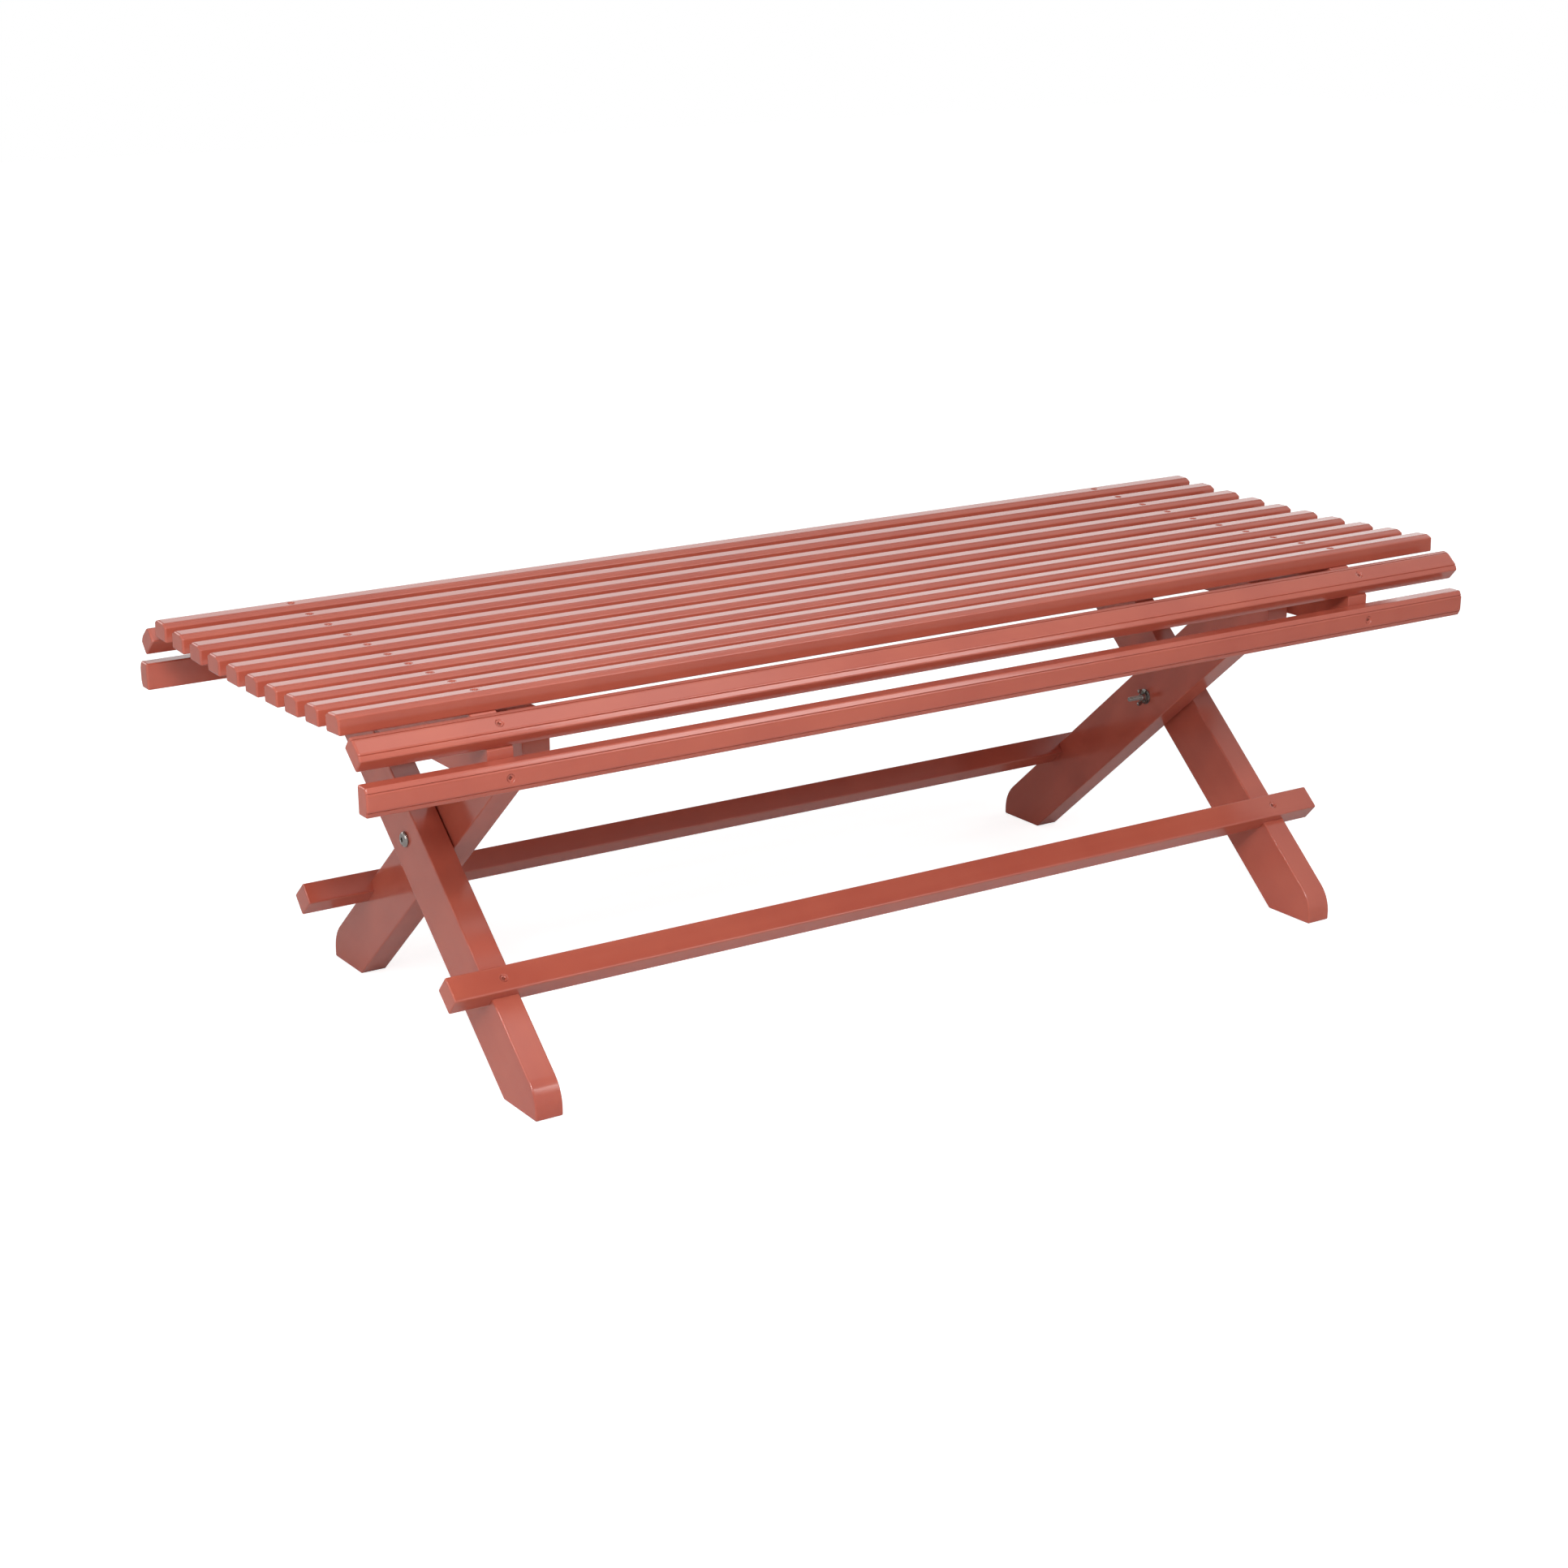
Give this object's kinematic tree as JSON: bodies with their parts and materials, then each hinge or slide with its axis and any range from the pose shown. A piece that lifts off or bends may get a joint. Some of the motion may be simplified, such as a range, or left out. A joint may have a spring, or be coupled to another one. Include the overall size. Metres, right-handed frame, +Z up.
{
  "type": "folding bench",
  "caption": "Backless folding wooden bench: dished seat of moulded slats on crossed legs with stretchers, painted terracotta, wing nuts at the crossing.",
  "frame": {"origin": "on the floor under the middle of the seat", "axes": "+X along the bench, +Y from front to back, +Z up"},
  "size_m": [1.5, 0.5986, 0.4626],
  "materials": {
    "painted_wood": "semi-gloss paint",
    "painted_screw": "painted over",
    "bolt_steel": "zinc plated"
  },
  "bodies": {
    "seat": {"slat_top_01": "painted_wood", "slat_top_02": "painted_wood", "slat_top_03": "painted_wood", "slat_top_04": "painted_wood", "slat_top_05": "painted_wood", "slat_top_06": "painted_wood", "slat_top_07": "painted_wood", "slat_top_08": "painted_wood", "slat_top_09": "painted_wood", "slat_top_10": "painted_wood", "slat_angled_front": "painted_wood", "slat_angled_back": "painted_wood", "slat_vertical_front": "painted_wood", "slat_vertical_back": "painted_wood", "slat_screws": "painted_screw", "bearer_left": "painted_wood", "bearer_right": "painted_wood", "hinge_bolts": "bolt_steel", "hinge_sleeves": "bolt_steel", "hinge_washers": "bolt_steel", "hinge_nuts": "bolt_steel"},
    "outer_leg_frame": {"outer_leg_left": "painted_wood", "outer_leg_right": "painted_wood", "stretcher_front": "painted_wood", "stretcher_screws_front": "painted_screw", "crossing_bolt_heads": "bolt_steel", "crossing_spacers": "bolt_steel"},
    "inner_leg_frame": {"inner_leg_left": "painted_wood", "inner_leg_right": "painted_wood", "stretcher_rear": "painted_wood", "stretcher_screws_rear": "painted_screw", "crossing_bolt_ends": "bolt_steel", "crossing_washers": "bolt_steel"},
    "wing_nut_left": {"wing_nut_left": "bolt_steel"},
    "wing_nut_right": {"wing_nut_right": "bolt_steel"}
  },
  "joints": [
    {"name": "outer_legs_fold", "type": "hinge", "parent": "seat", "child": "outer_leg_frame", "pos_m": [0, 0.194, 0.40707], "axis": [1, 0, 0], "range_deg": [-30, 0]},
    {"name": "inner_legs_fold", "type": "hinge", "parent": "seat", "child": "inner_leg_frame", "pos_m": [0, -0.194, 0.40707], "axis": [1, 0, 0], "range_deg": [0, 30]},
    {"name": "wing_nut_left_turn", "type": "hinge", "parent": "inner_leg_frame", "child": "wing_nut_left", "pos_m": [-0.4935, 0, 0.236], "axis": [1, 0, 0], "continuous": true},
    {"name": "wing_nut_right_turn", "type": "hinge", "parent": "inner_leg_frame", "child": "wing_nut_right", "pos_m": [0.4935, 0, 0.236], "axis": [1, 0, 0], "continuous": true}
  ]
}
